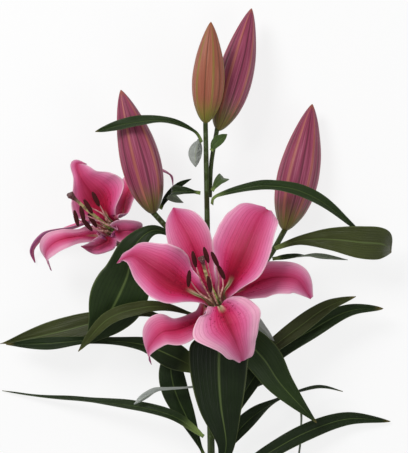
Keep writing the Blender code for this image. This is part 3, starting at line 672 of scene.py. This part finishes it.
leaves = [
    {"node": "leaf_top_left", "skin": leafDark, "tone": 0.45, "waves": ((0.6, 2.0, 0.1),),
     "leavesStem": (295, -4, 3),
     "route": [(-10, 306, 69), (-35, 315, 76), (-68, 313, 78), (-103, 305, 68)],
     "halfWidth": 6.5, "widest": 0.62, "roll": (30, 65, 22), "cup": 0.25},
    {"node": "leaf_top_pale", "skin": leafPale, "tone": 0.6,
     "leavesStem": (298, -6, -5), "route": [(-8, 286, 52), (-8, 272, 50)],
     "halfWidth": 6.5, "widest": 0.5, "roll": (170, 165), "cup": 0.3},
    {"node": "leaf_top_right_small", "skin": leafPale, "tone": 0.45,
     "leavesStem": (287, 5, 2), "route": [(12, 295, 63), (22, 303, 60)],
     "halfWidth": 5, "widest": 0.5, "roll": (-10, -20), "cup": 0.25},
    {"node": "leaf_mid_right_small", "skin": leafPale, "tone": 0.5,
     "leavesStem": (249, 5, 3), "route": [(13, 257, 63), (19, 262, 50), (19, 260, 30)],
     "halfWidth": 5.5, "widest": 0.5, "roll": (-10, -10), "cup": 0.2},
    {"node": "leaf_mid_left", "skin": leafDark, "tone": 0.4,
     "leavesStem": (247, -6, 2), "route": [(-18, 249, 64), (-32, 247, 52), (-20, 238, 41)],
     "halfWidth": 6.5, "widest": 0.6, "roll": (15, 40, 0), "cup": 0.2},
    {"node": "leaf_bract_left", "skin": leafDark, "tone": 0.3,
     "root": (-42, 232, 36), "route": [(-36, 243, 35), (-24, 255, 34), (-12, 261, 33)],
     "halfWidth": 3.5, "widest": 0.5, "roll": (10, 25), "cup": 0.2},
    {"node": "leaf_right_long", "skin": leafDark, "tone": 0.5, "waves": ((0.7, 2.5, 0.3),),
     "leavesStem": (236, 5, 2), "route": [(14, 245, 64), (60, 254, 70), (105, 243, 66), (152, 208, 38)],
     "halfWidth": 6.5, "widest": 0.5, "roll": (-40, -45, -35, -25), "cup": 0.25},
    {"node": "leaf_right_folded", "skin": leafOlive, "tone": 0.5, "waves": ((0.8, 2.0, 0.2),),
     "root": (68, 194, 35),
     "route": [(92, 202, 43), (122, 203, 50), (150, 200, 52), (172, 198, 42), (181, 190, 24)],
     "halfWidths": (2, 4.5, 11, 15.5, 14, 0.5), "roll": (0, -15, -8, -5), "cup": 0.12},
    {"node": "leaf_right_narrow", "skin": leafDark, "tone": 0.4,
     "root": (66, 184, 27), "route": [(82, 186, 28), (105, 187, 27), (139, 183, 21)],
     "halfWidth": 4, "widest": 0.4, "roll": (-15, -70, -140, -140), "cup": 0.25},
    {"node": "leaf_left_arching", "skin": leafDark, "tone": 0.42, "waves": ((1.0, 1.6, 0.3),),
     "leavesStem": (160, -8, 5),
     "route": [(-22, 198, 66), (-46, 212, 71), (-66, 196, 71), (-74, 165, 65), (-94, 126, 56),
               (-120, 96, 48)],
     "halfWidth": 27, "widest": 0.68, "taper": 2, "roll": (20, 25, 10, 0), "cup": 0.15},
    {"node": "leaf_left_strip", "skin": leafOlive, "tone": 0.5, "waves": ((0.7, 2.0, 0.6),),
     "leavesStem": (128, -6, 6),
     "route": [(-35, 139, 71), (-62, 138, 73), (-92, 127, 67), (-120, 96, 53)],
     "halfWidth": 6.8, "widest": 0.6, "roll": (25, 20, 0), "cup": 0.2},
    {"node": "leaf_left_broad", "skin": leafOlive, "tone": 0.45, "waves": ((0.8, 2.4, 0.1),),
     "leavesStem": (114, -6, -4),
     "route": [(-60, 133, 42), (-105, 123, 35), (-135, 115, 31), (-165, 108, 27), (-197, 102, 24)],
     "halfWidth": 12.5, "widest": 0.67, "taper": 1.2, "roll": (20, 10, 5), "cup": 0.12},
    {"node": "leaf_left_under", "skin": leafDark, "tone": 0.35, "waves": ((0.8, 3.0, 0.4),),
     "leavesStem": (76, -6, -3),
     "route": [(-30, 91, 45), (-62, 103, 43), (-110, 106, 43), (-150, 103, 42), (-190, 102, 37)],
     "halfWidths": (3, 13.5, 6.5, 3.5, 6.5, 0.5), "roll": (20, 25, 10), "cup": 0.2},
    {"node": "leaf_left_long", "skin": leafDark, "tone": 0.4, "waves": ((0.5, 3.0, 0.2),),
     "leavesStem": (14, -7, 5),
     "route": [(-30, 34, 43), (-70, 43, 34), (-115, 47, 20), (-160, 50, 7), (-197, 55, 1)],
     "halfWidth": 5.5, "widest": 0.3, "roll": (25, 35, 60, 45), "cup": 0.3},
    {"node": "leaf_curl_pale", "skin": leafPale, "tone": 0.4,
     "leavesStem": (63, -6, 2), "route": [(-22, 61, 49), (-46, 58, 48), (-67, 45, 42)],
     "halfWidth": 4.5, "widest": 0.7, "roll": (120, 110, 155), "cup": 0.35},
    {"node": "leaf_low_left_back", "skin": leafDark, "tone": 0.35, "waves": ((1.0, 1.8, 0.5),),
     "leavesStem": (-12, -4, -8), "route": [(-12, 22, 33), (-27, 55, 34), (-32, 80, 34), (-27, 101, 32)],
     "halfWidth": 13, "widest": 0.68, "roll": (10, 5), "cup": 0.15},
    {"node": "leaf_centre_front", "skin": leafDark, "tone": 0.22, "waves": ((1.0, 1.5, 0.2),),
     "leavesStem": (-25, 4, 7),
     "route": [(21, 5, 50), (16, 45, 57), (14, 80, 60), (15, 104, 61), (16, 115, 60)],
     "halfWidths": (2.5, 8, 21, 27.5, 26, 2), "roll": (0, 0), "cup": 0.14},
    {"node": "leaf_right_hanging", "skin": leafDark, "tone": 0.5, "waves": ((0.9, 2.0, 0.7),),
     "leavesStem": (114, 6, 3), "route": [(36, 108, 57), (56, 90, 57), (74, 64, 52), (108, 27, 40)],
     "halfWidths": (2, 14, 17, 12, 0.5), "roll": (-15, -8, 0), "cup": 0.2},
    {"node": "leaf_upper_right_back", "skin": leafOlive, "tone": 0.4, "waves": ((0.8, 2.2, 0.4),),
     "leavesStem": (63, 6, 0), "route": [(46, 86, 47), (84, 114, 44), (118, 138, 40), (146, 148, 36)],
     "halfWidth": 8.5, "widest": 0.6, "roll": (-15, -20), "cup": 0.25},
    {"node": "leaf_upper_right_front", "skin": leafDark, "tone": 0.4, "waves": ((1.0, 2.5, 0.1),),
     "leavesStem": (11, 7, -2),
     "route": [(36, 52, 38), (64, 90, 36), (104, 116, 34), (140, 134, 31), (173, 136, 27)],
     "halfWidth": 10, "widest": 0.5, "taper": 0.6, "roll": (-15, -20), "cup": 0.3},
    {"node": "leaf_low_right_thin", "skin": leafDark, "tone": 0.35, "waves": ((0.6, 2.0, 0.2),),
     "leavesStem": (-7, 7, -5), "route": [(40, 26, 31), (71, 48, 29), (108, 60, 28), (134, 56, 25)],
     "halfWidths": (1.5, 8.5, 3.5, 3, 0.5), "roll": (-15, -30, -70, -60), "cup": 0.25},
    {"node": "leaf_low_right_broad", "skin": leafDark, "tone": 0.3, "waves": ((0.8, 2.0, 0.5),),
     "leavesStem": (-35, 7, -6), "route": [(60, -5, 23), (100, 16, 16), (140, 28, 8), (182, 25, 2)],
     "halfWidth": 8.5, "widest": 0.5, "taper": 0.7, "roll": (-15, -18, -10), "cup": 0.22},
    {"node": "leaf_small_pale", "skin": leafPale, "tone": 0.5,
     "leavesStem": (136, 5, 0), "route": [(42, 130, 50), (56, 117, 48), (67, 106, 48)],
     "halfWidth": 5, "widest": 0.6, "roll": (-165, -160), "cup": 0.25},
    {"node": "leaf_right_edge_on", "skin": leafDark, "tone": 0.4,
     "leavesStem": (38, 6, -9), "route": [(60, 66, 21), (90, 48, 14), (94, 10, 9), (88, -32, 6)],
     "halfWidth": 4.5, "widest": 0.5, "roll": (-20, -50, -80), "cup": 0.2}]
for count, leaf in enumerate(leaves):
    leaf.update({"bend": 1.25, "rib": 0.5, "ribWidth": 0.9, "thick": 0.8, "grid": (96, 14), "ripple": 1.0,
                 "seed": count * 3.7})
    places = fullRoute(leaf)
    start, ahead = Vector(places[0]), Vector(places[1])
    halves = [(half, half) for half in leaf["halfWidths"]] if "halfWidths" in leaf else None
    leafFrames = bladeFrames(leaf, places, halves, Vector((0, 0, 1)).cross(ahead - start).normalized())
    growBlade(leaf, leafFrames)
print("leaves grown")


ringRadius = {"inner": (5.6, 9.0), "outer": (8.0, 11.5)}
tubeWidth = (4, 7.5)
ringCup = {"inner": 0.28, "outer": 0.2}
throatSpread = 10
filament = {"radii": (0.85, 0.8, 0.7, 0.45), "start": 0.12, "fromAxis": (4.2, 4.6)}
anther = {"wide": 4.4, "deep": 3.2, "long": 16, "bow": 0.9, "furrow": 0.22, "furrowWidth": 0.3,
    "uneven": 0.1}
pistil = {"bare": 1.6, "rows": 16, "ovary": (1.3, 0.12, 0.16), "stigma": (2.4, 0.98, 0.04)}


def growTepal(flower, plan, seed):
    # two places on the wall of the flower's narrow tube, then its own free ones
    hub, throat = Vector(flower["hub"]), Vector(flower["throat"])
    axis = (throat - hub).normalized()
    out = Vector(plan["route"][1]) - throat
    out = (out - out.dot(axis) * axis).normalized()
    low, high = ringRadius[plan["ring"]]
    places = [tuple(hub + out * low), tuple(throat + out * high)]
    halves = [(half, half) for half in tubeWidth] + list(zip(plan["left"], plan["right"]))
    # the lowest free part spreads until it meets its neighbours
    halves[2] = [max(half, throatSpread) for half in halves[2]]
    plan.update({"cup": ringCup[plan["ring"]], "bend": 2, "thick": 1.0, "grid": (100, 40), "ripple": 1.4,
                 "rib": 0.8, "ribWidth": 1.3, "fray": 0.05, "seed": seed})
    tepalFrames = bladeFrames(plan, places + plan["route"], halves, axis.cross(out))
    growBlade(plan, tepalFrames)


def growStamen(flower, number, middle, direction):
    # a thin filament from beside the ovary, with a long pollen sac across its tip
    hub, throat, middle = Vector(flower["hub"]), Vector(flower["throat"]), Vector(middle)
    axis = (throat - hub).normalized()
    across = Vector((1, 0, 0))
    across = (across - across.dot(axis) * axis).normalized()
    out = Matrix.Rotation(math.radians(flower["stamenTurn"] + number * 60), 3, axis) @ across
    near, far = filament["fromAxis"]
    places = (hub.lerp(throat, filament["start"]) + out * near, throat + out * far,
              throat.lerp(middle, 0.5) + out * far, middle)
    route = [(*spot, radius) for spot, radius in zip(places, filament["radii"])]
    shape = tubeShape({"route": route, "rings": 40, "sides": 12})
    place = shape.verts.layers.float_color["stalkPlace"]
    turn = Vector(direction).to_track_quat("Z", "Y")
    sac = bmesh.ops.create_uvsphere(shape, u_segments=32, v_segments=36, radius=0.5)
    for vertex in sac["verts"]:
        x, y, z = vertex.co
        angle = math.atan2(y, x)
        crease = math.exp(-((abs(math.cos(angle)) / anther["furrowWidth"]) ** 2))
        furrow = 1 - anther["furrow"] * crease * (1 - (2 * z) ** 4)
        bow = anther["bow"] * math.cos(math.pi * z)
        lump = 1 + anther["uneven"] * noise.noise(Vector((x * 6, y * 6, z * 14 + number)))
        local = Vector((x * anther["wide"] * furrow * lump, y * anther["deep"] * furrow * lump + bow,
                        z * anther["long"]))
        vertex.co = (middle + turn @ local) * mm
        vertex[place] = (math.cos(angle), math.sin(angle), z + 0.5, 1.0)
    settle(flower["node"] + "_stamen_" + str(number), shape, pollenSkin)


def hump(along, height, middle, spread):
    return height * math.exp(-((along - middle) / spread) ** 2)


def pistilSwell(along, angle):
    # six grooves up to the top of the ovary, three lobes near the tip
    if along < 0.36:
        return 1 + 0.09 * math.cos(6 * angle)
    return 1 + 0.2 * math.cos(3 * angle) * easeIn(along, 0.78, 0.9)


def growPistil(flower):
    # ovary, bare style and stigma
    places = flower["pistil"]
    route = []
    for row in range(pistil["rows"] + 1):
        along = row / pistil["rows"]
        radius = pistil["bare"] + hump(along, *pistil["ovary"]) + hump(along, *pistil["stigma"])
        route.append((*smoothRow(places, (len(places) - 1) * along), radius))
    shape = tubeShape({"route": route, "rings": 90, "sides": 36, "swell": pistilSwell})
    place = shape.verts.layers.float_color["stalkPlace"]
    for vertex in shape.verts:
        turnX, turnY, along = vertex[place][:3]
        vertex[place] = (turnX, turnY, along, easeIn(along, 0.84, 0.92))
    settle(flower["node"] + "_pistil", shape, fleshSkin)


def openFlower(flower, tepals):
    for count, tepal in enumerate(tepals):
        growTepal(flower, tepal, flower["seed"] + count * 0.9)
    for number, (middle, direction) in enumerate(flower["stamens"], start=1):
        growStamen(flower, number, middle, direction)
    growPistil(flower)
    print(flower["node"], "opened")


frontFlower = {"node": "front_flower", "hub": (21, 128, 68), "throat": (11, 147, 90), "stamenTurn": -135,
    "seed": 29,
    "stamens": [
        ((5, 162, 128), (3, -16, -1)), ((16, 173, 120), (5, -10, -3)), ((10, 185, 126), (6, -13, -3)),
        ((2, 189, 131), (3, -10, -2)), ((-9, 185, 126), (2, -10, -2)), ((-14, 167, 118), (-1, -14, -2))],
    "pistil": [(20, 130, 70), (12, 147, 91), (4, 165, 111), (-2, 186, 133)]}
frontTepals = [
    {"node": "front_flower_petal_right", "skin": petalSkin, "tone": 0.46,
     "waves": ((2.4, 2.6, 0.1), (0.8, 6.0, 0.4)), "curl": 0.5,
     "ring": "inner", "roll": (0, 25, 30, 30),
     "route": [(24, 163, 100), (34, 184, 108), (43, 205, 107), (52, 224, 100), (60, 231, 88)],
     "left": (14, 29, 30, 25, 5), "right": (12, 25, 23, 19, 4)},
    {"node": "front_flower_petal_left", "skin": petalSkin, "tone": 0.44,
     "waves": ((2.6, 2.8, 0.45), (0.9, 6.5, 0.1)), "curl": 0.5,
     "ring": "inner", "roll": (0, 0, -30, -20),
     "route": [(-9, 153, 100), (-29, 163, 105), (-49, 177, 105), (-66, 188, 98), (-82, 181, 80)],
     "left": (5, 25, 20, 10, 0.5), "right": (15, 29, 26, 13, 0.5)},
    {"node": "front_flower_petal_low", "skin": petalSkin, "tone": 0.8,
     "waves": ((2.6, 2.2, 0.7), (0.8, 5.0, 0.2)), "curl": 0.5,
     "ring": "inner", "roll": (0, 0),
     "route": [(17, 137, 102), (23, 124, 110), (29, 110, 109), (34, 96, 99), (36, 89, 86)],
     "left": (24, 31, 22, 14, 3), "right": (22, 35, 20, 11, 3)},
    {"node": "front_flower_sepal_top", "skin": sepalSkin, "tone": 0.5,
     "waves": ((0.9, 2.4, 0.3),), "curl": 0.3,
     "ring": "outer", "roll": (0, 0),
     "route": [(1, 168, 86), (-7, 188, 90), (-15, 206, 89), (-24, 222, 84), (-29, 233, 75)],
     "left": (9, 15, 20, 14, 0.5), "right": (9, 17, 21, 15, 0.5)},
    {"node": "front_flower_sepal_right", "skin": sepalSkin, "tone": 0.6,
     "waves": ((1.0, 2.6, 0.6),), "curl": 0.3,
     "ring": "outer", "roll": (0, 25, 30, 30),
     "route": [(33, 155, 88), (52, 164, 87), (70, 168, 88), (88, 165, 86), (101, 147, 73)],
     "left": (10, 16, 15, 13, 3), "right": (10, 17, 16, 15, 0.5)},
    {"node": "front_flower_sepal_low", "skin": sepalSkin, "tone": 0.6,
     "waves": ((1.4, 2.8, 0.2),), "curl": 0.3,
     "ring": "outer", "roll": (0, -5, -30, 0),
     "route": [(-3, 128, 81), (-23, 120, 89), (-40, 116, 93), (-52, 101, 86), (-50, 85, 74)],
     "left": (10, 20, 15, 8, 0.5), "right": (3, 12, 18, 11, 0.5)}]
openFlower(frontFlower, frontTepals)

leftFlower = {"node": "left_flower", "hub": (-70.5, 200, 24), "throat": (-90, 213.5, 46),
    "stamenTurn": -140, "seed": 27,
    "stamens": [
        ((-110, 217, 81), (10, -12, -4)), ((-114, 227, 90), (4, -17, -2)),
        ((-109, 234, 80), (12, -20, -4)), ((-102, 241, 76), (9, -19, -4)),
        ((-106, 221, 60), (8, -13, -4)), ((-120, 223, 85), (4, -17, -2))],
    "pistil": [(-72, 201, 26), (-90, 214, 47), (-108, 229, 67), (-126, 245, 87)]}
leftTepals = [
    {"node": "left_flower_petal_top", "skin": petalSkin, "tone": 0.5,
     "waves": ((1.8, 2.6, 0.2), (0.6, 6.0, 0.4)), "curl": 0.4,
     "ring": "inner", "roll": (0, 30, 35, 30),
     "route": [(-94, 227, 46), (-102, 239, 49), (-110, 250, 54), (-117, 262, 57),
               (-121, 275, 52), (-112, 275, 46)],
     "left": (11, 26, 22, 8, 6, 0.5), "right": (7, 30, 28, 15, 5, 0.5)},
    {"node": "left_flower_petal_right", "skin": petalSkin, "tone": 0.6,
     "waves": ((1.0, 2.0, 0.5),), "curl": 0.3,
     "ring": "inner", "roll": (0, 0),
     "route": [(-82, 209, 56), (-75, 211, 62), (-66, 211, 63), (-61, 209, 56)],
     "left": (11, 15, 12, 0.5), "right": (9, 13, 11, 0.5)},
    {"node": "left_flower_petal_low", "skin": petalSkin, "tone": 0.5,
     "waves": ((0.8, 2.0, 0.1),), "curl": 0.3,
     "ring": "inner", "roll": (0, 0),
     "route": [(-92, 202, 55), (-100, 197, 52), (-108, 195, 46), (-118, 196, 38)],
     "left": (7, 9, 6, 0.5), "right": (7, 9, 6, 0.5)},
    {"node": "left_flower_sepal_low_left", "skin": sepalSkin, "tone": 0.85,
     "waves": ((1.2, 2.4, 0.3),), "curl": 0.3,
     "ring": "outer", "roll": (0, -30, -35, -20),
     "route": [(-105, 207, 47), (-118, 206, 58), (-132, 204, 65), (-145, 198, 62),
               (-151, 188, 53), (-147, 173, 35)],
     "left": (4, 7, 11, 13, 9, 0.5), "right": (4, 7, 10, 12, 9, 0.5)},
    {"node": "left_flower_sepal_left", "skin": sepalSkin, "tone": 0.5,
     "waves": ((0.8, 2.2, 0.2),), "curl": 0.3,
     "ring": "inner", "roll": (0, 20, 40, 50),
     "route": [(-107, 220, 38), (-125, 215, 35), (-142, 211, 28), (-157, 204, 19), (-167, 192, 7),
               (-165, 180, 2)],
     "left": (5, 9, 9, 5, 3, 0.5), "right": (6, 9, 8, 5, 3, 0.5)},
    {"node": "left_flower_sepal_back", "skin": sepalSkin, "tone": 0.62,
     "waves": ((0.9, 2.0, 0.6),), "curl": 0.3,
     "ring": "outer", "roll": (0, 0),
     "route": [(-79, 226, 32), (-76, 243, 27), (-66, 258, 21), (-48, 270, 11), (-33, 266, 4),
               (-30, 255, 1)],
     "left": (5, 12, 15, 9, 6, 0.5), "right": (6, 14, 15, 9, 6, 0.5)}]
openFlower(leftFlower, leftTepals)


table = bmesh.new()
bmesh.ops.create_grid(table, x_segments=1, y_segments=1, size=3.0)
tableMesh = bpy.data.meshes.new("paleTable")
table.to_mesh(tableMesh)
table.free()
paleTable = bpy.data.objects.new("paleTable", tableMesh)
scene.collection.objects.link(paleTable)
tableSkin, tree, shader = startSkin("paleCard", 0.9)
shader.inputs["Base Color"].default_value = (0.16, 0.16, 0.16, 1.0)
shader.inputs["Emission Color"].default_value = (1.0, 1.0, 1.0, 1.0)
shader.inputs["Emission Strength"].default_value = 0.8
tableMesh.materials.append(tableSkin)

world = bpy.data.worlds.new("studio")
world.use_nodes = True
world.node_tree.nodes["Background"].inputs["Color"].default_value = (1.0, 1.0, 1.0, 1.0)
world.node_tree.nodes["Background"].inputs["Strength"].default_value = 0.42
scene.world = world


def hangLight(name, spot, aim, size, power):
    lamp = bpy.data.lights.new(name, "AREA")
    lamp.shape = "DISK"
    lamp.size = size
    lamp.energy = power
    holder = bpy.data.objects.new(name, lamp)
    scene.collection.objects.link(holder)
    holder.location = spot
    holder.rotation_euler = (Vector(aim) - Vector(spot)).to_track_quat("-Z", "Y").to_euler()


hangLight("keyLight", (-1.0, 1.1, 1.7), (0, 0.1, 0.05), 0.9, 32)
hangLight("fillLight", (1.3, -0.4, 1.6), (0, 0.05, 0.05), 1.2, 8)

cameraSpot = (0.0, 0.2152, 2.2)  # from the plant's own zero
lens = bpy.data.cameras.new("camera")
lens.sensor_width = 36
lens.lens = 179.0
lens.clip_end = 20
camera = bpy.data.objects.new("camera", lens)
scene.collection.objects.link(camera)
camera.location = Vector(cameraSpot) + plantShift
scene.camera = camera
scene.view_settings.view_transform = "Standard"

print("scene complete")
